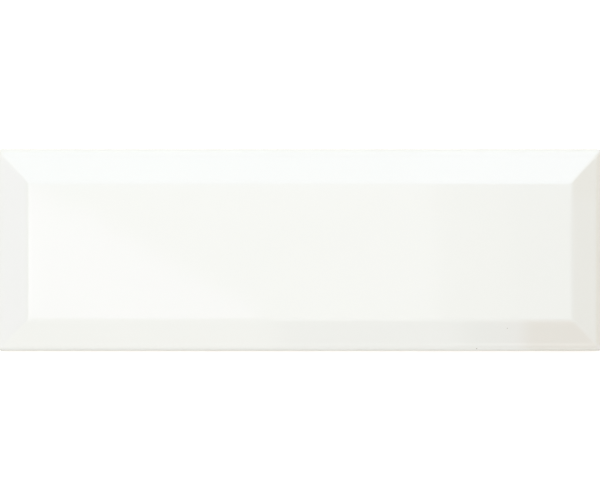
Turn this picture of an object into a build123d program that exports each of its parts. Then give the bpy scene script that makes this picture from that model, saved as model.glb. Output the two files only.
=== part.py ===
from build123d import *
import os
from math import atan2, floor, pi, radians, tan

# A bevelled wall tile, dry-pressed from one charge of white clay, glazed on its face and
# fired: one solid. It lies on its back, face up, with its long side along X. The origin is
# the middle of the back, in the plane of the rib tips. Millimetres and degrees.

# Face, seen square on
tile_length = 300.0
tile_width = 100.0
corner_radius = 2.5

# Section through the face: a flat field, a straight bevel down to the rim, and the rim
# rolled over into the side wall
tile_thickness = 8.0
bevel_width = 15.5
bevel_drop = 2.8
arris_radius = 15.0
rim_radius = 2.0

# Side wall: an upright land under the rim, which sets the joint to the next tile, and below
# it a wall that leans in towards the back, so that the pressed tile leaves its die
rim_land = 2.2
side_draft = 4.0
foot_radius = 0.5

# Back, where the lower punch leaves a grid of shallow cells with keying ribs between them
cell_depth = 0.7
cell_width = 10.0
cell_corner_cut = 1.2
cell_wall_draft = 40.0
rib_width = 2.5
plain_border = 6.0

rim_height = tile_thickness - bevel_drop
land_foot = rim_height - rim_land
foot_inset = land_foot * tan(radians(side_draft))
foot_length = tile_length - 2 * foot_inset
foot_width = tile_width - 2 * foot_inset


def plan(inset, height):
    """A horizontal section of the tile, which keeps its corner radius at every height."""
    outline = RectangleRounded(tile_length - 2 * inset, tile_width - 2 * inset, corner_radius)
    return Plane.XY.offset(height) * outline


def flank(low, high):
    """The face between two edges that lie one above the other: flat, or ruled at a corner."""
    if low.geom_type == GeomType.LINE:
        return Face(Wire.make_polygon([low @ 0, low @ 1, high @ 1, high @ 0]))
    return Face.make_surface_from_curves(low, high)


def pressed_blank():
    """Foot, land, rim and field joined by flanks, which meet in a mitre at each corner."""
    foot = plan(foot_inset, 0)
    land = plan(0, land_foot)
    rim = plan(0, rim_height)
    field = plan(bevel_width, tile_thickness)
    flanks = [
        flank(low, high)
        for lower, upper in [(foot, land), (land, rim), (rim, field)]
        for low, high in zip(lower.edges(), upper.edges())
    ]
    return Solid(Shell([foot.face(), *flanks, field.face()]))


def edges_at(solid, height):
    """The level edges of a solid that lie at one height."""
    return solid.edges().filter_by(
        lambda edge: abs(edge.bounding_box().min.Z - height) < 1e-4
        and abs(edge.bounding_box().max.Z - height) < 1e-4
    )


def rounded_blank():
    """The blank with its arris, rim and foot rounded, each all the way round."""
    # A round runs through corners of one plan radius and has to stay inside it. The rim's
    # round also ends on the land.
    bevel_angle = atan2(bevel_drop, bevel_width)
    arris = min(arris_radius, 0.9 * corner_radius / tan(bevel_angle / 2))
    rim = min(rim_radius, 0.9 * corner_radius, 0.9 * rim_land / tan(pi / 4 - bevel_angle / 2))
    blank = pressed_blank()
    blank = fillet(edges_at(blank, tile_thickness), arris)
    blank = fillet(edges_at(blank, rim_height), rim)
    return fillet(edges_at(blank, 0), foot_radius)


def cell():
    """One cell of the back: a square recess with sloping walls and corners cut across."""
    square = Rectangle(cell_width, cell_width)
    mouth = chamfer(square.vertices(), cell_corner_cut)
    return extrude(mouth, amount=cell_depth, taper=cell_wall_draft)


def cells_along(side):
    """How many cells fit along a side of the back, between its plain borders."""
    pitch = cell_width + rib_width
    return floor((side - 2 * plain_border + rib_width) / pitch)


def wall_tile():
    """The finished tile: the rounded blank with the grid of cells pressed into its back."""
    pitch = cell_width + rib_width
    grid = GridLocations(pitch, pitch, cells_along(foot_length), cells_along(foot_width))
    recess = cell()
    return rounded_blank() - [place * recess for place in grid]


os.makedirs("parts", exist_ok=True)
tile = wall_tile()
export_step(tile, "parts/bevelled_tile.step")
print("volume in cubic centimetres", round(tile.volume / 1000, 2))
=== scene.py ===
# %% [markdown]
# # A bevelled wall tile
#
# The real tile is one piece: clay powder pressed in a die, glazed on its face and fired. What
# the eye meets is a glassy white coat with wide bevels, and bare clay on the sides and back.
# We build both as one closed mesh round the CAD solid, give each its finish, and then set up
# a camera and a small studio.

# %% Load the frame
import math
import random

import bpy
import numpy as np
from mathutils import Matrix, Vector


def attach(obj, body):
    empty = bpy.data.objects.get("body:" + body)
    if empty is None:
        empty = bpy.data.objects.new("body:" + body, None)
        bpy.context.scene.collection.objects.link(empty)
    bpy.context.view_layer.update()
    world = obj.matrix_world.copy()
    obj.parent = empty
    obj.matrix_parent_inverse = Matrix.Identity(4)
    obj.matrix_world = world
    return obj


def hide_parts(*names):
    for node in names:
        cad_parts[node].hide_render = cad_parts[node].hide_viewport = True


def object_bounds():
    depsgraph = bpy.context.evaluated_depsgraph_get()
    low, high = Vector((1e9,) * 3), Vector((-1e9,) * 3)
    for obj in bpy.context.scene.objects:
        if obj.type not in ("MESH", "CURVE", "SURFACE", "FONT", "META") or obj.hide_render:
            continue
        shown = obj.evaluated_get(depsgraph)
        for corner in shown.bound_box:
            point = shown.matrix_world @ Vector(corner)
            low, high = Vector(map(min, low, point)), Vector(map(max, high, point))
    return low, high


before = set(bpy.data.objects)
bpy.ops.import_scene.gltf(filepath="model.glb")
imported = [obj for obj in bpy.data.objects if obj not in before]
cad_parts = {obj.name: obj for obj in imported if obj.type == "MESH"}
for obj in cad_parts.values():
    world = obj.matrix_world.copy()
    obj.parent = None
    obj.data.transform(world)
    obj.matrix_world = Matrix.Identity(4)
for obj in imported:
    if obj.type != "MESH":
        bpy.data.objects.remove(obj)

cad_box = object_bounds()
print("CAD box in metres:", [tuple(round(c, 4) for c in corner) for corner in cad_box])

# %% [markdown]
# ## Sizes
#
# A tile is drawn in millimetres, and Blender works in metres, so we keep every size in
# millimetres and shrink the finished mesh once. The length, the width and the thickness are
# read from the CAD box. The others describe the tile's section, from the flat field out over
# the bevel to the rim, and down the side wall to the back.

# %% Name the sizes
MM = 0.001
half_length, half_width, thickness = (corner / MM for corner in cad_box[1])

plan_radius = 2.5
bevel_width, bevel_drop = 15.5, 2.8
arris_radius = 15.0
rim_radius = 2.0
land_top, land_foot = 3.53, 3.0
side_draft = math.radians(4)
foot_radius = 0.5

bevel_slope = math.atan2(bevel_drop, bevel_width)
print("the bevel falls", round(math.degrees(bevel_slope), 2), "degrees")

# %% [markdown]
# ## The mesh as a stack of loops
#
# A tile's outline hardly changes from its face to its back: it is a rectangle with rounded
# corners that only gets larger or smaller. A box with a Bevel modifier could make it, but that
# gives every edge the same round. So we lay closed loops of points round the tile, each at its
# own height and inset, and join neighbours with quads, as a lathe would if tiles were round.
# Every loop has the same number of points, so the quads stay regular all the way. The points
# are closer together in the corners and just beside them, where the surface turns.

# %% Points round one loop
def shares_along(length, steps, gaps):
    """Where a side's points lie, from 0 to 1. Its first and last ones are set by gaps in mm."""
    near = np.array(gaps) / length
    middle = np.linspace(near[-1], 1 - near[-1], steps - 2 * len(gaps) + 3)
    return np.concatenate([near[:-1], middle, 1 - near[-2::-1]])


def rounded_loop(half_x, half_y, radius, steps_x, steps_y, corner_steps, gaps=(0.0,)):
    """Points round a rounded rectangle. Each side runs from mid-corner to mid-corner."""
    corner_x, corner_y = half_x - radius, half_y - radius
    centres = np.array([
        (-corner_x, -corner_y), (corner_x, -corner_y), (corner_x, corner_y), (-corner_x, corner_y),
    ])
    points = []
    for side, steps in enumerate([steps_x, steps_y, steps_x, steps_y]):
        start, end = centres[side], centres[(side + 1) % 4]
        facing = math.radians(270 + 90 * side)
        turns = np.linspace(facing - math.pi / 4, facing, corner_steps + 1)
        first_arc = start + radius * np.stack([np.cos(turns), np.sin(turns)], 1)
        turns = np.linspace(facing, facing + math.pi / 4, corner_steps + 1)
        last_arc = end + radius * np.stack([np.cos(turns), np.sin(turns)], 1)
        run = last_arc[0] - first_arc[-1]
        shares = shares_along(np.linalg.norm(run), steps - 2 * corner_steps, gaps)
        straight = first_arc[-1] + shares[:, None] * run
        points += [first_arc[:-1], straight[:-1], last_arc[:-1]]
    return np.concatenate(points)


trial_steps_x, trial_steps_y, trial_corner_steps = 30, 10, 4
trial_loop = rounded_loop(
    half_length, half_width, plan_radius, trial_steps_x, trial_steps_y, trial_corner_steps,
)
print("a trial loop has", len(trial_loop), "points")

# %% [markdown]
# The back has 23 by 7 cells, and six steps of mesh for each cell turn out to give quads of a
# good size. The whole tile takes its number of points from that, so that the loops of the
# sides meet the grid of the back point for point. No two bevels of a pressed tile come out
# quite alike. On this one the far bevel is a little wider than the others, so the loops draw
# in a little more from the far side.

# %% Count the points
cells_x, cells_y = 23, 7
cell_steps = 6
steps_x, steps_y = cells_x * cell_steps, cells_y * cell_steps
loop_size = 2 * (steps_x + steps_y)
corner_steps = 4
corner_gaps = (0.0, 0.3, 0.9, 1.9)
far_bevel_extra = 0.8


def tile_loop(inset, radius=plan_radius):
    """A loop of the tile's outline, moved in by an inset, and a little more from the far side."""
    extra = far_bevel_extra * np.clip((inset - rim_radius) / (bevel_width - rim_radius), 0, 1)
    loop = rounded_loop(
        half_length - inset, half_width - inset - extra / 2, radius,
        steps_x, steps_y, corner_steps, corner_gaps,
    )
    return loop - [0, extra / 2]


print("each loop has", loop_size, "points")

# %% [markdown]
# ## A small mesh builder
#
# Blender wants one list of points and one list of faces. Its bmesh tools could add them one by
# one, but whole blocks of them are quicker. One helper adds points and returns their numbers,
# and another joins two loops with a belt of quads. A third fills a loop with a grid, by
# blending its four sides, which is called a Coons patch. Each face also remembers which finish
# it wears.

# %% Builder helpers
GLAZED, BARE = 0, 1
points, faces, finishes = [], [], []


def add_points(plan, height):
    """Adds points at a height, or at heights of their own, and returns their numbers."""
    heights = np.broadcast_to(height, len(plan))
    first = sum(len(block) for block in points)
    points.append(np.column_stack([plan, heights]))
    return np.arange(first, first + len(plan))


def add_faces(quads, finish):
    """Adds quads, each four numbers of points, that all wear one finish."""
    faces.append(quads)
    finishes.append(np.full(len(quads), finish))


def join_loops(inner, outer, finish):
    """A belt of quads from a loop to the next, on the way from the face round to the back."""
    add_faces(np.stack([inner, outer, np.roll(outer, -1), np.roll(inner, -1)], 1), finish)


print("a face's finish is", GLAZED, "where it is glazed and", BARE, "where it is bare")

# %% Fill a loop with a grid
def blend_sides(loop, count_x, count_y):
    """The four sides of a loop, blended into a grid of count_y + 1 by count_x + 1 points."""
    ring = np.concatenate([loop, loop[:1]])
    low = ring[: count_x + 1]
    right = ring[count_x : count_x + count_y + 1]
    high = ring[count_x + count_y : 2 * count_x + count_y + 1][::-1]
    left = ring[2 * count_x + count_y :][::-1]
    u = np.linspace(0, 1, count_x + 1)[None, :, None]
    v = np.linspace(0, 1, count_y + 1)[:, None, None]
    low_corners = (1 - u) * low[0] + u * low[-1]
    high_corners = (1 - u) * high[0] + u * high[-1]
    across = (1 - v) * low[None] + v * high[None]
    along = (1 - u) * left[:, None] + u * right[:, None]
    return across + along - (1 - v) * low_corners - v * high_corners


def fill_loop(loop_numbers, plan, height_at, count_x, count_y, finish, face_up):
    """Fills a loop with a grid of quads whose edge is the loop itself."""
    grid = blend_sides(plan, count_x, count_y)
    numbers = np.zeros(grid.shape[:2], int)
    inside = grid[1:-1, 1:-1].reshape(-1, 2)
    numbers[1:-1, 1:-1] = add_points(inside, height_at(inside)).reshape(count_y - 1, count_x - 1)
    ring = np.concatenate([loop_numbers, loop_numbers[:1]])
    numbers[0] = ring[: count_x + 1]
    numbers[:, -1] = ring[count_x : count_x + count_y + 1]
    numbers[-1] = ring[count_x + count_y : 2 * count_x + count_y + 1][::-1]
    numbers[:, 0] = ring[2 * count_x + count_y :][::-1]
    corners = [numbers[:-1, :-1], numbers[:-1, 1:], numbers[1:, 1:], numbers[1:, :-1]]
    quads = np.stack(corners, -1).reshape(-1, 4)
    add_faces(quads if face_up else quads[:, ::-1], finish)


trial_grid = blend_sides(trial_loop, trial_steps_x, trial_steps_y)
print("the trial loop fills a grid of", trial_grid.shape[1], "by", trial_grid.shape[0], "points")

# %% [markdown]
# ## How a glaze lies
#
# A glaze melts in the kiln and levels itself, but never quite: it keeps long, low waves, a
# few hundredths of a millimetre high and two to four centimetres apart. They are what makes
# a reflection in a tile swim. A Displace modifier could draw them from a noise. We add up a few
# sine waves with seeded directions instead: they give the same tile every time, and only ever
# sink the surface, by a known depth, so that it stays inside the CAD box.

# %% Waves in the glaze
glaze_dice = random.Random(11)
wave_sink = 0.030
wave_count, shortest_wave, longest_wave = 7, 18, 46
waves = [
    (
        2 * math.pi / glaze_dice.uniform(shortest_wave, longest_wave),
        glaze_dice.uniform(0, 2 * math.pi), glaze_dice.uniform(0, 2 * math.pi),
    )
    for _ in range(wave_count)
]


def glaze_sink(plan):
    """How far the glaze lies below its highest level, in mm, over points of the plan."""
    total = sum(
        np.sin(number * (plan[:, 0] * math.cos(heading) + plan[:, 1] * math.sin(heading)) + phase)
        for number, heading, phase in waves
    )
    return wave_sink * (0.5 + 0.5 * total / wave_count)


print(wave_count, "waves sink the glaze by up to", wave_sink, "mm")

# %% [markdown]
# ## The section of the face
#
# From the field outwards the section is: a gentle round, which tilers call the arris; the
# straight bevel; a low bead, where the molten glaze drew back from the rim and stood up a
# little; and the rim, rolled over into the side wall. We write it as rows of inset and
# height, closer together where the section bends. The rounds follow the CAD solid's own radii.

# %% Rows of the arris and the bevel
bead_height, bead_middle, bead_reach = 0.06, 2.55, 1.6
arris_reach = arris_radius * math.tan(bevel_slope / 2)
field_inset = bevel_width + arris_reach
arris_count, coarse_count, bead_count = 11, 8, 11

arris_rows = [
    (field_inset - arris_radius * math.sin(turn), thickness - arris_radius * (1 - math.cos(turn)))
    for turn in np.linspace(0, bevel_slope, arris_count)
]
rim_foot_inset = rim_radius * (1 - math.sin(bevel_slope))
bevel_foot_inset = rim_foot_inset + 0.2
coarse_rows_end, bead_rows_start = 4.6, 4.3


def bevel_height(inset):
    """The height of the straight bevel at an inset, in mm."""
    return thickness - (bevel_width - inset) * math.tan(bevel_slope)


def bead(inset):
    """The height of the bead at an inset, in mm."""
    across = np.clip((inset - bead_middle) / bead_reach, -1, 1)
    return bead_height * 0.5 * (1 + np.cos(math.pi * across))


coarse_insets = np.linspace(arris_rows[-1][0], coarse_rows_end, coarse_count + 1)[1:]
bead_insets = np.linspace(bead_rows_start, bevel_foot_inset, bead_count)
bevel_rows = [(inset, bevel_height(inset)) for inset in [*coarse_insets, *bead_insets]]
print(len(arris_rows), "rows in the arris and", len(bevel_rows), "on the bevel")

# %% [markdown]
# Two bevels meet in a mitre, a soft line that runs from the corner of the tile to the corner
# of the field. The glaze fills it more at the rim, where it gathers, than at the field. So a
# loop's corner is rounded by the tile's own radius at the rim and gets sharper on the way in.

# %% Sharpen the mitres inwards
mitre_insets = [bevel_foot_inset, 3.2, bevel_width - arris_reach, field_inset]
mitre_radii = [plan_radius, 1.1, 0.6, 0.4]


def corner_radius_at(inset):
    """The plan radius of a loop: the mitre narrows from the rim to the corner of the field."""
    return np.interp(inset, mitre_insets, mitre_radii)


print("a corner's radius goes from", mitre_radii[0], "to", mitre_radii[-1], "mm")

# %% [markdown]
# ## Where the glaze ends
#
# The glaze is poured over the face and runs a little way down the sides, where it stops in a
# wandering line with a rounded lip, and the pressed clay below it stays bare. A painted mask
# could draw the line, but a real lip catches the light, so ours is part of the mesh. The line
# is a sum of whole waves round the tile, so it closes on itself. The lip stands about a tenth
# of a millimetre proud of the clay.

# %% The wandering line of the glaze
lip_height, lip_wander, lip_proud = 3.86, 0.13, 0.13
line_wave_count, fewest_round, most_round = 9, 7, 70
farthest_wander = 1.2
around = np.arange(loop_size) / loop_size
line_dice = random.Random(5)
line_waves = [
    (line_dice.randint(fewest_round, most_round), line_dice.uniform(0, 2 * math.pi))
    for _ in range(line_wave_count)
]
line = sum(np.sin(2 * math.pi * count * around + phase) for count, phase in line_waves)
line = line / math.sqrt(line_wave_count)
glaze_line = lip_height + lip_wander * np.clip(line, -farthest_wander, farthest_wander)
lowest, highest = round(glaze_line.min(), 2), round(glaze_line.max(), 2)
print("the glaze ends between", lowest, "and", highest, "mm up")

# %% [markdown]
# ## Where the glaze lies thin, and painted warm reflection
#
# Over the roll of the rim the glaze thins out all round, down to its lip, and the clay warms it
# there. The right bevel, its rim most of all, and the right end of the near bevel look warmer
# and a little darker as well: that is painted warm reflection, mixed into the glaze's colour by
# the same number. We could paint that by hand as weights. Instead we work out one number for
# each point, from 0 for a full coat to 1 for the thinnest glaze and for the strongest painted
# reflection, so that it follows the mitres and the arris exactly.

# %% Thinness of the glaze and painted warm reflection
# The right end, its rim and the near right corner get painted warm reflection; these set how strong
# it is and where.
end_rim_painted_reflection, end_rim_inset, end_rim_fade = 0.85, 3.2, 1.2
end_bevel_painted_reflection, far_corner_painted_reflection, far_corner_start = 0.2, 0.15, 22
near_patch_painted_reflection, near_patch_length = 0.52, 43.0
mitre_fade, arris_fade, patch_fade = 3.0, 2.0, 8.0
end_onto_arris, near_onto_arris = 1.0, 0.5


def ramp(value, width):
    """Rises from 0 to 1 while the value goes from 0 to a width."""
    return np.clip(value / width, 0, 1)


def thinness_and_reflection_at(plan, inset):
    """How thin the glaze lies at points of the face, and the warm reflection painted there, by their
    plan and their inset in mm.
    """
    from_end = half_length - plan[:, 0]
    from_side = half_width - np.abs(plan[:, 1])
    on_end = ramp(from_side - from_end + mitre_fade / 2, mitre_fade)
    end_rim = end_rim_painted_reflection * ramp(end_rim_inset + end_rim_fade - inset, end_rim_fade) * on_end
    far_corner = far_corner_painted_reflection * ramp(plan[:, 1] - far_corner_start, patch_fade)
    end_bevel = (end_bevel_painted_reflection + far_corner) * on_end
    end_bevel = end_bevel * ramp(bevel_width + end_onto_arris - inset, arris_fade)
    near_patch = near_patch_painted_reflection * ramp(near_patch_length - from_end, patch_fade) * (1 - on_end)
    near_patch = near_patch * ramp(bevel_width + near_onto_arris - inset, arris_fade)
    return np.maximum.reduce([end_rim, end_bevel, near_patch * (plan[:, 1] < 0)])


# The number printed is the painted warm reflection on the rim of the right end.
print("the glaze on the rim of the right end is thin to", end_rim_painted_reflection)

# %% [markdown]
# ## The glazed loops
#
# Now the rows become loops. The waves of the glaze die out towards the rim, where the coat is
# too thin to hold them. On the roll of the rim every loop wanders a little more than the last,
# so that the lowest one follows the line where the glaze ends. A fourth power keeps the coat
# full down to just above that line.

# %% Lay the glazed loops
loops = []
calm_inset, calm_fade = 1.6, 3.0
outline = tile_loop(0)
inward = outline - tile_loop(1)


def lay_loop(plan, height, finish, thinness_and_reflection):
    """Adds one loop and joins it to the last, with how thin its glaze lies and how much warm
    reflection is painted there.
    """
    numbers = add_points(plan, height)
    if loops:
        join_loops(loops[-1]["numbers"], numbers, finish)
    loops.append({"numbers": numbers, "plan": plan, "thinness_and_reflection": thinness_and_reflection})


for inset, height in arris_rows + bevel_rows:
    plan = tile_loop(inset, corner_radius_at(inset))
    sunk = ramp(inset - calm_inset, calm_fade) * glaze_sink(plan)
    lay_loop(plan, height + bead(inset) - sunk, GLAZED, thinness_and_reflection_at(plan, inset))

roll_count = 13
line_turn = np.arccos((glaze_line - land_top) / rim_radius)
for share in np.linspace(0, 1, roll_count):
    turn = bevel_slope + share * (line_turn - bevel_slope)
    inset = rim_radius * (1 - np.sin(turn))
    height = land_top + rim_radius * np.cos(turn) + bead(inset) * np.cos(turn)
    plan = outline - inset[:, None] * inward
    thin_and_reflection = thinness_and_reflection_at(plan, inset)
    lay_loop(plan, height, GLAZED, thin_and_reflection + (1 - thin_and_reflection) * share ** 4)

print(len(loops), "glazed loops")

# %% [markdown]
# ## The bare sides
#
# The lip rounds off the edge of the glaze. Below it the clay's own round comes out to an
# upright land, the widest part of the tile, which sets the joint to its neighbour. Below that
# the wall leans in, because a pressed tile has to leave its die, and a small round leads to
# the back.

# %% Lay the lip of the glaze
lip_steps = [(0.035, 0.15), (0.065, 0.45), (0.08, 0.8), (0.085, 1.0)]
line_inset = rim_radius * (1 - np.sin(line_turn))


def lay_side(inset, height, finish=BARE, thinness_and_reflection=0.0):
    """Adds a loop of the sides, at one inset and height or at one of each for every point."""
    inset = np.broadcast_to(inset, loop_size)
    lay_loop(outline - inset[:, None] * inward, height, finish, thinness_and_reflection)


for down, back in lip_steps:
    lay_side(line_inset + back * lip_proud, glaze_line - down, GLAZED, 1.0)

clay_inset, clay_top = line_inset + lip_proud, glaze_line - lip_steps[-1][0]
print("the lip is", lip_steps[-1][0], "mm thick")

# %% Lay the land, the wall and the foot
clay_round_shares = (0.12, 0.35, 0.6, 0.8, 1.0)
land_edge, wall_count, foot_count = 0.06, 6, 7
for share in clay_round_shares:
    lay_side(clay_inset * (1 - share) ** 2, clay_top + share * (land_top - clay_top))

lay_side(0.0, (land_top + land_foot) / 2)
lay_side(0.0, land_foot + land_edge)
foot_edge_inset = land_foot * math.tan(side_draft)
foot_back_inset = foot_edge_inset + foot_radius * math.tan((math.pi / 2 - side_draft) / 2)
wall_foot = foot_radius * (1 - math.sin(side_draft))
for height in np.linspace(land_foot - land_edge, wall_foot, wall_count):
    lay_side((land_foot - height) * math.tan(side_draft), height)
for turn in np.linspace(side_draft, math.pi / 2, foot_count + 1)[1:]:
    lay_side(foot_back_inset - foot_radius * math.cos(turn), foot_radius * (1 - math.sin(turn)))
print(len(loops), "loops down to the back")

# %% [markdown]
# ## The field
#
# The innermost loop is the edge of the field. One large face could fill it if the field were
# flat, but its waves need points to bend it, so a grid does.

# %% Fill the field
fill_loop(
    loops[0]["numbers"], loops[0]["plan"], lambda plan: thickness - glaze_sink(plan),
    steps_x, steps_y, GLAZED, face_up=True,
)
print("the field has", steps_x * steps_y, "quads")

# %% [markdown]
# ## The back
#
# The lower punch presses a grid of shallow cells into the back. The adhesive fills them and
# grips the ribs between. A Boolean modifier could cut the cells out, but it leaves long, thin
# faces. We give each cell a square of the back and loops of its own. First we lay the points
# along the ribs' middle lines, which neighbouring cells share.

# %% Lay the middle lines of the ribs
cell_pitch = 12.5
block_x, block_y = cells_x * cell_pitch / 2, cells_y * cell_pitch / 2
lines_x = np.linspace(-block_x, block_x, steps_x + 1)
lines_y = np.linspace(-block_y, block_y, steps_y + 1)

rib_numbers = np.full((steps_y + 1, steps_x + 1), -1)
on_rib_line = np.zeros_like(rib_numbers, dtype=bool)
on_rib_line[::cell_steps, :] = True
on_rib_line[:, ::cell_steps] = True
rib_rows, rib_columns = np.nonzero(on_rib_line)
rib_plan = np.column_stack([lines_x[rib_columns], lines_y[rib_rows]])
rib_numbers[rib_rows, rib_columns] = add_points(rib_plan, 0.0)
print(len(rib_plan), "points on the ribs")

# %% [markdown]
# Each cell then sits in its own square of the grid. Its loops start on the middle lines, go
# over a softened edge, down a sloping wall and round on to the floor. The punch leaves no
# sharp corner anywhere. We write each loop as half its width and its depth.

# %% Press the cells
cell_rows = [
    (5.34, 0.0), (5.20, 0.004), (5.06, 0.035), (4.95, 0.12), (4.56, 0.58), (4.46, 0.66), (4.30, 0.70),
]
cell_mouth, cell_depth = cell_rows[0][0], cell_rows[-1][1]
mouth_radius, narrowing, cell_corner_steps = 1.5, 0.4, 2
last_cell = np.array([cells_x - 1, cells_y - 1])


def rim_of(block):
    """The numbers round the edge of a block of the grid, counter-clockwise."""
    return np.concatenate([block[0, :-1], block[:-1, -1], block[-1, :0:-1], block[:0:-1, 0]])


for row in range(cells_y):
    for column in range(cells_x):
        top, left = row * cell_steps, column * cell_steps
        last = rim_of(rib_numbers[top : top + cell_steps + 1, left : left + cell_steps + 1])
        middle = (np.array([column, row]) - last_cell / 2) * cell_pitch
        for half, height in cell_rows:
            radius = mouth_radius - (cell_mouth - half) * narrowing
            loop = rounded_loop(half, half, radius, cell_steps, cell_steps, cell_corner_steps)
            plan = middle + loop
            numbers = add_points(plan, height)
            join_loops(last, numbers, BARE)
            last = numbers
        fill_loop(last, plan, lambda inside: cell_depth, cell_steps, cell_steps, BARE, face_up=False)
print(cells_x * cells_y, "cells pressed")

# %% [markdown]
# The plain border of the back runs from the foot's round to the outer line of the cells.

# %% Close the border
border_plan = np.column_stack([
    rim_of(np.broadcast_to(lines_x, rib_numbers.shape)),
    rim_of(np.broadcast_to(lines_y[:, None], rib_numbers.shape)),
])
foot_plan, border_shares = loops[-1]["plan"], (0.06, 0.4, 0.75)
for share in border_shares:
    lay_loop(foot_plan + share * (border_plan - foot_plan), 0.0, BARE, 0.0)
join_loops(loops[-1]["numbers"], rim_of(rib_numbers), BARE)
print(len(loops), "loops in all")

# %% [markdown]
# ## Make the Blender object
#
# All the blocks go into one mesh. In a closed body whose faces all look outwards, each edge
# lies between two faces that run along it in opposite ways, so we count any that don't.

# %% Check that the body is closed
all_points = np.concatenate(points) * MM
all_faces = np.concatenate(faces)
runs = np.concatenate([all_faces[:, [a, (a + 1) % 4]] for a in range(4)])
one_way = np.unique(runs, axis=0)
both_ways = np.unique(np.concatenate([runs, runs[:, ::-1]]), axis=0)
print("edges run twice the same way:", len(runs) - len(one_way))
print("edges with a face on one side only:", len(both_ways) - len(one_way))

# %% [markdown]
# The thinness of the glaze and the painted warm reflection go along as an attribute, one
# number for each point, which the glaze material reads later.

# %% Build the mesh
tile_mesh = bpy.data.meshes.new("wall_tile")
tile_mesh.from_pydata(all_points.tolist(), [], all_faces.tolist())
tile_mesh.polygons.foreach_set("material_index", np.concatenate(finishes).astype(np.int32))
thinness_and_reflection = np.zeros(len(all_points), np.float32)
for laid in loops:
    thinness_and_reflection[laid["numbers"]] = laid["thinness_and_reflection"]
tile_mesh.attributes.new("glaze_thinness_and_painted_reflection", "FLOAT", "POINT").data.foreach_set("value", thinness_and_reflection)
tile_mesh.shade_smooth()
tile_mesh.validate()

tile = bpy.data.objects.new("wall_tile", tile_mesh)
bpy.context.scene.collection.objects.link(tile)
tile_mesh.calc_loop_triangles()
print("the tile has", len(all_points), "points and", len(tile_mesh.loop_triangles), "triangles")

# %% [markdown]
# ## Let the tile stand for the CAD solid
#
# The tile rides on the CAD model's one body and takes the solid's place in the picture.

# %% Tie the tile to the frame
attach(tile, "root")
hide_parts("bevelled_tile")
print(tile.name, "rides on the root and replaces the solid")

# %% [markdown]
# ## Helpers for materials
#
# A web colour such as #ECEBE6 is written for screens. Shaders work in linear light, so one
# function turns it. A second adds a node to a material with its options, its numbers and its
# links. Texture scales count features in each metre, so a third turns a size in millimetres
# into a scale. A fourth starts a material with no nodes in it. A Mix node has several inputs
# of one name, one for each kind of value, so those for colours are called by number.

# %% Material helpers
FACTOR, FIRST, SECOND, MIXED = 0, 6, 7, 2


def colour(code):
    """A web colour as the linear red, green, blue and alpha that shaders take."""
    parts = [int(code[at : at + 2], 16) / 255 for at in (1, 3, 5)]
    return [c / 12.92 if c <= 0.04045 else ((c + 0.055) / 1.055) ** 2.4 for c in parts] + [1.0]


def add_node(material, kind, values=None, links=None, **options):
    """Adds a shader node. Values and links go to its inputs, by name or by number."""
    made = material.node_tree.nodes.new("ShaderNode" + kind)
    for name, option in options.items():
        setattr(made, name, option)
    for socket, value in (values or {}).items():
        made.inputs[socket].default_value = value
    for socket, source in (links or {}).items():
        material.node_tree.links.new(source, made.inputs[socket])
    return made


def scale_for(size_mm):
    """The texture scale at which a pattern's features are about this many mm across."""
    return 1 / (size_mm * MM)


def new_material(name):
    """A material whose nodes are all still to come."""
    material = bpy.data.materials.new(name)
    material.use_nodes = True
    material.node_tree.nodes.clear()
    return material


print("a screen's middle grey is", round(colour("#808080")[0], 3), "in linear light")

# %% [markdown]
# ## The glaze
#
# The coat is a glass, kept white by fine crystals of zircon in it, and fired until it ran
# smooth. To the eye it is a bright white with a sharp, clear shine. A slow cloud of noise
# varies the white by a hair. Where the coat runs thin, on the roll of the rim, the cream of
# the clay warms it. At the right end and the near right corner the same warmer white is
# painted warm reflection. We mix it in by each point's number.

# %% Zircon-white glaze, fired glossy: its colour
glaze = new_material("zircon_white_glaze_fired_glossy")
place = add_node(glaze, "TexCoord")
thin_and_reflection = add_node(glaze, "Attribute", attribute_name="glaze_thinness_and_painted_reflection")
depth_cloud = add_node(
    glaze, "TexNoise", {"Scale": scale_for(45), "Detail": 2.0, "Roughness": 0.5},
    {"Vector": place.outputs["Object"]},
)
white = add_node(
    glaze, "Mix", {FIRST: colour("#EDEEE8"), SECOND: colour("#EFF0EA")},
    {FACTOR: depth_cloud.outputs["Fac"]}, data_type="RGBA",
)
# A warmer white: thin glaze on the rim, and painted warm reflection at the right end and near right
# corner.
tinted = add_node(
    glaze, "Mix", {SECOND: colour("#E6E3D7")},
    {FACTOR: thin_and_reflection.outputs["Fac"], FIRST: white.outputs[MIXED]}, data_type="RGBA",
)
print("the colour of the glaze has", len(glaze.node_tree.nodes), "nodes")

# %% [markdown]
# Grit on the glaze burns out in the kiln and leaves a pit, with the clay showing in it.
# This tile has two, each about half a millimetre across or less, on its near bevel. A dent in
# the mesh would be no larger than a pixel and show only as a dark dot. So we darken the glaze
# inside a small ball round each, with a soft edge. Its dark brown stands for the clay in the
# pit and for painted shade in its hollow.

# %% Two pits in the glaze
pit_softness = 0.3


def pit_at(x_mm, y_mm, z_mm, radius_mm):
    """1 inside a small round pit in the glaze, and 0 outside it."""
    away = add_node(
        glaze, "VectorMath", {1: (x_mm * MM, y_mm * MM, z_mm * MM)}, {0: place.outputs["Object"]},
        operation="DISTANCE",
    )
    outer, inner = (1 + pit_softness) * radius_mm * MM, (1 - pit_softness) * radius_mm * MM
    return add_node(
        glaze, "MapRange", {"From Min": outer, "From Max": inner}, {"Value": away.outputs["Value"]},
    ).outputs["Result"]


# Each pit's place on the tile and its radius, in mm
rim_pit, bevel_pit = (87.4, -48.8, 5.4, 0.22), (102.3, -38.6, 7.26, 0.16)
pits = add_node(
    glaze, "Math", links={0: pit_at(*rim_pit), 1: pit_at(*bevel_pit)}, operation="MAXIMUM",
)
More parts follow.
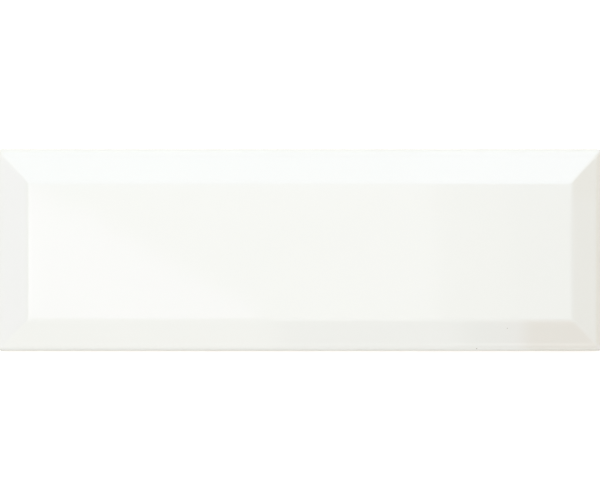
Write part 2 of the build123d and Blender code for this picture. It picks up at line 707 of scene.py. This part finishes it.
# The pit's dark brown is the clay in it and painted shade in its hollow.
pitted_and_shaded = add_node(
    glaze, "Mix", {SECOND: colour("#8F8270")},
    {FACTOR: pits.outputs["Value"], FIRST: tinted.outputs[MIXED]}, data_type="RGBA",
)
print("with its pits it has", len(glaze.node_tree.nodes))

# %% [markdown]
# Close up a glaze has a faint orange peel, with dimples one or two millimetres apart, and a
# rare pinhole, where a bubble broke as it set. Both are too fine for the mesh, so they are
# bumps. The shader is a plain glassy one: glaze bends light as glass does, and its surface is
# nearly smooth.

# %% Orange peel, pinholes and shader
orange_peel = add_node(
    glaze, "TexNoise", {"Scale": scale_for(1.6), "Detail": 1.0, "Roughness": 0.4},
    {"Vector": place.outputs["Object"]},
)
peel_bump = add_node(
    glaze, "Bump", {"Strength": 1.0, "Distance": 0.002 * MM},
    {"Height": orange_peel.outputs["Fac"]},
)
pinholes = add_node(
    glaze, "TexVoronoi", {"Scale": scale_for(14), "Randomness": 1.0},
    {"Vector": place.outputs["Object"]}, feature="F1",
)
# Distances come in parts of a 14 mm cell, so these make a pinhole about 0.3 mm across
pinhole_edge = add_node(
    glaze, "MapRange", {"From Min": 0.008, "From Max": 0.016, "To Min": 0.0, "To Max": 1.0},
    {"Value": pinholes.outputs["Distance"]}, interpolation_type="SMOOTHSTEP",
)
glaze_bump = add_node(
    glaze, "Bump", {"Strength": 1.0, "Distance": 0.03 * MM},
    {"Height": pinhole_edge.outputs["Result"], "Normal": peel_bump.outputs["Normal"]},
)
glaze_shader = add_node(
    glaze, "BsdfPrincipled", {"Roughness": 0.07, "IOR": 1.52},
    {"Base Color": pitted_and_shaded.outputs[MIXED], "Normal": glaze_bump.outputs["Normal"]},
)
add_node(glaze, "OutputMaterial", links={"Surface": glaze_shader.outputs["BSDF"]})
print("the whole glaze has", len(glaze.node_tree.nodes))

# %% [markdown]
# ## The bare clay
#
# The body is a white-firing earthenware, pressed from a powder of spray-dried grains and
# fired porous. It is cream rather than white, quite matt, and slightly grainy, with pale and
# dark grains in it. They are a fifth to half a millimetre across, and we draw them at the
# coarse end, because finer ones wouldn't show. The rib tips carry a dusting of the white kiln
# wash that the tile was fired on, in patches, and only within a tenth of a millimetre of the
# back.

# %% White-body earthenware, pressed and fired bare: its colour
clay = new_material("white_body_earthenware_pressed_bare")
clay_place = add_node(clay, "TexCoord")
clay_axes = add_node(clay, "SeparateXYZ", links={"Vector": clay_place.outputs["Object"]})
grain = add_node(
    clay, "TexNoise", {"Scale": scale_for(0.5), "Detail": 4.0, "Roughness": 0.65},
    {"Vector": clay_place.outputs["Object"]},
)
clouds = add_node(
    clay, "TexNoise", {"Scale": scale_for(22), "Detail": 3.0, "Roughness": 0.55},
    {"Vector": clay_place.outputs["Object"]},
)
cream = add_node(
    clay, "Mix", {FIRST: colour("#DDD4C2"), SECOND: colour("#E8E1D2")},
    {FACTOR: clouds.outputs["Fac"]}, data_type="RGBA",
)
grained = add_node(
    clay, "Mix", {FACTOR: 0.3}, {FIRST: cream.outputs[MIXED], SECOND: grain.outputs["Color"]},
    data_type="RGBA", blend_type="SOFT_LIGHT",
)
wash_height = add_node(
    clay, "MapRange", {"From Min": 0.12 * MM, "From Max": 0.0, "To Min": 0.0, "To Max": 0.75},
    {"Value": clay_axes.outputs["Z"]},
)
wash_patches = add_node(
    clay, "MapRange", {"From Min": 0.35, "From Max": 0.6}, {"Value": clouds.outputs["Fac"]},
)
wash = add_node(
    clay, "Math", links={0: wash_height.outputs["Result"], 1: wash_patches.outputs["Result"]},
    operation="MULTIPLY",
)
washed = add_node(
    clay, "Mix", {SECOND: colour("#F1EEE7")},
    {FACTOR: wash.outputs["Value"], FIRST: grained.outputs[MIXED]}, data_type="RGBA",
)
print("the colour of the clay has", len(clay.node_tree.nodes), "nodes")

# %% [markdown]
# As the tile leaves the die, its walls drag faint upright lines into the clay. Noise that is
# stretched twenty times along the height draws them, one in each millimetre or so. They are
# both a bump, on top of the grain's, and a slight change of colour.

# %% Grain, drag lines and shader
grain_bump = add_node(
    clay, "Bump", {"Strength": 1.0, "Distance": 0.05 * MM},
    {"Height": grain.outputs["Fac"]},
)
upright = add_node(
    clay, "Mapping", {"Scale": (1.0, 1.0, 0.05)}, {"Vector": clay_place.outputs["Object"]},
)
drag_lines = add_node(
    clay, "TexNoise", {"Scale": scale_for(1.0), "Detail": 2.0, "Roughness": 0.6},
    {"Vector": upright.outputs["Vector"]},
)
drag_bump = add_node(
    clay, "Bump", {"Strength": 1.0, "Distance": 0.08 * MM},
    {"Height": drag_lines.outputs["Fac"], "Normal": grain_bump.outputs["Normal"]},
)
dragged = add_node(
    clay, "Mix", {FACTOR: 0.16}, {FIRST: washed.outputs[MIXED], SECOND: drag_lines.outputs["Color"]},
    data_type="RGBA", blend_type="SOFT_LIGHT",
)
clay_shader = add_node(
    clay, "BsdfPrincipled", {"Roughness": 0.92, "IOR": 1.45, "Specular IOR Level": 0.3},
    {"Base Color": dragged.outputs[MIXED], "Normal": drag_bump.outputs["Normal"]},
)
add_node(clay, "OutputMaterial", links={"Surface": clay_shader.outputs["BSDF"]})

tile_mesh.materials.append(glaze)
tile_mesh.materials.append(clay)
print("finishes:", [material.name for material in tile_mesh.materials])

# %% [markdown]
# ## The camera
#
# The tile lies face up and the camera looks straight down on it, so that its outline is a
# true rectangle. An orthographic camera would show it so too, but a real one has a lens, so we
# take a long one from far off. The picture takes in a little less than the tile's whole
# length, so the two short sides touch the frame.

# %% Set up the camera
scene = bpy.context.scene
picture_width = 297.0 * MM
rim_level = 4.5 * MM

camera_data = bpy.data.cameras.new("camera")
camera_data.lens, camera_data.sensor_width = 100.0, 36.0
camera = bpy.data.objects.new("camera", camera_data)
distance = picture_width * camera_data.lens / camera_data.sensor_width
camera.location = (0.0, 0.0, rim_level + distance)
scene.collection.objects.link(camera)
scene.camera = camera
print("the camera stands", round(distance, 3), "m above the rim")

# %% [markdown]
# ## The studio
#
# The floor is a square of white paper. More lamps could make it as white as the background, but
# they would wash out the tile. So the paper has a glow that only the camera and the reflections
# see. Paper and glow together come out brighter than white, so the glow also hides nearly all
# of the tile's soft shadow: a weaker one would let it show. The world is white to the camera
# and to reflections too, beyond the paper and above it, and a soft fill light to everything
# else.

# %% White paper that glows
glow_level = 0.33


def seen_directly(tree_owner):
    """1 for rays from the camera, mirrors and glass, and 0 for rays that only carry light."""
    path = add_node(tree_owner, "LightPath")
    mirror = add_node(
        tree_owner, "Math", operation="MAXIMUM",
        links={0: path.outputs["Is Camera Ray"], 1: path.outputs["Is Glossy Ray"]},
    )
    return add_node(
        tree_owner, "Math", operation="MAXIMUM",
        links={0: mirror.outputs["Value"], 1: path.outputs["Is Transmission Ray"]},
    ).outputs["Value"]


paper = new_material("white_paper")
glow_strength = add_node(
    paper, "Math", {1: glow_level}, {0: seen_directly(paper)}, operation="MULTIPLY",
)
paper_glow = add_node(paper, "Emission", links={"Strength": glow_strength.outputs["Value"]})
paper_matt = add_node(paper, "BsdfDiffuse", {"Color": colour("#F4F4F2")})
paper_sum = add_node(
    paper, "AddShader", links={0: paper_glow.outputs["Emission"], 1: paper_matt.outputs["BSDF"]},
)
add_node(paper, "OutputMaterial", links={"Surface": paper_sum.outputs["Shader"]})
print("the paper glows at", glow_level, "of white")

# %% Lay the floor
floor_reach, floor_gap = 1.1, 0.05 * MM
floor_corners = [
    (-floor_reach, -floor_reach, 0), (floor_reach, -floor_reach, 0),
    (floor_reach, floor_reach, 0), (-floor_reach, floor_reach, 0),
]
floor_mesh = bpy.data.meshes.new("floor")
floor_mesh.from_pydata(floor_corners, [], [(0, 1, 2, 3)])
floor_mesh.materials.append(paper)
floor = bpy.data.objects.new("floor", floor_mesh)
floor.location.z = -floor_gap
scene.collection.objects.link(floor)
print("the floor is", 2 * floor_reach, "m square")

# %% Light the world
fill_level = 0.766
world = bpy.data.worlds.new("studio")
world.use_nodes = True
world.node_tree.nodes.clear()
world_strength = add_node(
    world, "MapRange", {"To Min": fill_level, "To Max": 1.0}, {"Value": seen_directly(world)},
)
world_light = add_node(
    world, "Background", {"Color": colour("#FFFFFF")}, {"Strength": world_strength.outputs["Result"]},
)
add_node(world, "OutputWorld", links={"Surface": world_light.outputs["Background"]})
scene.world = world
print("the fill light is", fill_level, "of white")

# %% [markdown]
# ## Lamps
#
# A glossy tile shows what hangs over it, so a studio lights it with large, soft lamps. The
# field mirrors the ceiling right above it. A bevel tilts by ten degrees, and a mirror doubles
# a tilt, so each bevel looks at a patch of ceiling of its own, nearly half a metre out to its
# side. We hang a level softbox over each patch. A narrow strip shows in the bead along the
# near rim, and a long low one behind the tile lights the roll of its far rim. In Blender a
# mirrored ray goes on through a lamp and adds its light to the white of the room behind, so
# even a weak lamp makes its patch a little brighter than white.

# %% Softboxes
ceiling, shine_height = 1.2, 1.25


def softbox(name, centre, size, radiance, tint="#FFFFFF", aim=None, turn=0.0, shine_only=False):
    """A rectangular lamp. A radiance of 1 looks as bright as white in the picture."""
    light = bpy.data.lights.new(name, "AREA")
    light.shape, light.size, light.size_y = "RECTANGLE", *size
    light.energy, light.color = radiance * math.pi * size[0] * size[1], colour(tint)[:3]
    lamp = bpy.data.objects.new(name, light)
    lamp.location = centre
    lamp.rotation_euler.z = math.radians(turn)
    if aim:
        lamp.rotation_euler = (Vector(aim) - Vector(centre)).to_track_quat("-Z", "Y").to_euler()
    lamp.visible_camera, lamp.visible_diffuse = False, not shine_only
    scene.collection.objects.link(lamp)


def overhead(name, x_range, y_range, radiance, tint="#FFFFFF"):
    """A level softbox over a rectangle of the floor."""
    centre = (sum(x_range) / 2, sum(y_range) / 2, ceiling)
    softbox(name, centre, (x_range[1] - x_range[0], y_range[1] - y_range[0]), radiance, tint)


overhead("field_softbox", (-0.332, 0.165), (-0.40, 0.105), 0.94)
overhead("far_softbox", (-0.50, 0.70), (0.105, 0.85), 1.40, "#ECF4FF")
overhead("far_left_softbox", (-0.76, -0.50), (0.20, 0.85), 1.55, "#ECF4FF")
overhead("left_softbox", (-0.43, -0.332), (-0.36, 0.13), 2.45, "#FAF8FF")
overhead("near_left_softbox", (-0.72, -0.03), (-0.80, -0.42), 0.82, "#FFFAEE")
overhead("near_right_softbox", (-0.03, 0.22), (-0.80, -0.42), 0.12, "#FFFAEE")
overhead("bead_strip", (-0.60, 0.55), (-0.50, -0.36), 0.9)
softbox("rim_strip", (0.25, 1.35, 0.62), (1.8, 0.5), 0.85, aim=(0, 0, 0))

# %% [markdown]
# A lamp that lights the tile changes the whole of it. To tint or to grade one reflection we use
# lamps that only show in the shine: a cool one over the far bevel and a paler one at its right
# end, one behind for the far rim, a violet one over the left bevel, a small bright one for the
# near left mitre, one that slants across the left of the field, and two that let the field
# fade to the right. Of two lamps in one plane a mirror shows only one, so those that overlap
# hang at different heights.

# %% Lamps that only show in the shine
softbox(
    "far_blue_shine", (0.16, 0.48, shine_height), (1.32, 0.78), 0.60, "#7FA8FF", shine_only=True,
)
softbox("far_rim_shine", (0.1, 1.15, 0.95), (1.9, 0.5), 1.2, aim=(0, 0, 0), shine_only=True)
softbox(
    "left_violet_shine", (-0.86, 0.0, shine_height), (0.24, 0.9), 0.4, "#A510FF", shine_only=True,
)
softbox("mitre_shine", (-0.70, -0.45, shine_height), (0.16, 0.16), 5.0, shine_only=True)
softbox(
    "slant_shine", (-0.240, -0.070, shine_height), (0.335, 0.175), 0.85, "#DFC8FF",
    turn=-29, shine_only=True,
)
softbox("field_right_shine", (0.21, -0.085, ceiling), (0.09, 0.43), 0.46, "#FFFFEE", shine_only=True)
softbox("field_end_shine", (0.30, -0.085, ceiling), (0.09, 0.43), 0.18, "#FFFFEE", shine_only=True)
softbox("far_right_shine", (0.36, 0.52, 1.3), (0.42, 0.8), 0.35, "#DFDFFF", shine_only=True)

# %% [markdown]
# ## Cards
#
# Where a face should look darker or warmer than the room, a sheet of coloured card hangs in
# the way of what it mirrors, as a photographer hangs a flag. The right bevel and the near
# right corner of this tile are warmer than the rest. Two more cards stand by the tile and one
# lies before it, because a rim that rolls over mirrors what is beside it. Those three only
# show in the shine, so that they leave the floor white.

# %% Flags of card
card_height, lying_height, above_lamps = 0.22, 0.001, ceiling + 0.01


def card(name, corners, tint, shades=True):
    """A sheet of matt card, unseen by the camera, which shades the tile or only shows in it."""
    mesh = bpy.data.meshes.new(name)
    mesh.from_pydata(corners, [], [(0, 1, 2, 3)])
    sheet = bpy.data.objects.new(name, mesh)
    sheet.visible_camera = False
    sheet.visible_diffuse = sheet.visible_shadow = shades
    scene.collection.objects.link(sheet)
    paint = new_material(name)
    matt = add_node(paint, "BsdfDiffuse", {"Color": colour(tint)})
    add_node(paint, "OutputMaterial", links={"Surface": matt.outputs["BSDF"]})
    mesh.materials.append(paint)
    print(name, "in", tint)


def level(x_range, y_range, height):
    """The corners of a level sheet at a height."""
    (x0, x1), (y0, y1) = x_range, y_range
    return [(x0, y0, height), (x0, y1, height), (x1, y1, height), (x1, y0, height)]


def standing(start, end):
    """The corners of a sheet that stands on the floor, from one point of it to another."""
    return [(*start, 0), (*end, 0), (*end, card_height), (*start, card_height)]


card("corner_card", level((0.265, 0.9), (-0.95, -0.25), above_lamps), "#9B2A10")
card("near_grey_card", level((0.205, 0.265), (-0.95, -0.36), above_lamps), "#A8A196")
card("right_inner_card", level((0.40, 0.72), (-0.25, 0.50), above_lamps), "#8F8674")
card("right_card", level((0.72, 0.93), (-0.25, 0.62), above_lamps), "#94805F")
card("right_standing_card", standing((1.15, -0.9), (1.15, 0.7)), "#A8885C", shades=False)
card("near_lying_card", level((-0.6, 0.6), (-0.4, -0.053), lying_height), "#8C8474", shades=False)
card("near_standing_card", standing((-1.0, -1.15), (1.1, -1.15)), "#857868", shades=False)

# %% [markdown]
# ## The last look
#
# The picture is kept as plain display colours.

# %% View settings
scene.view_settings.view_transform = "Standard"
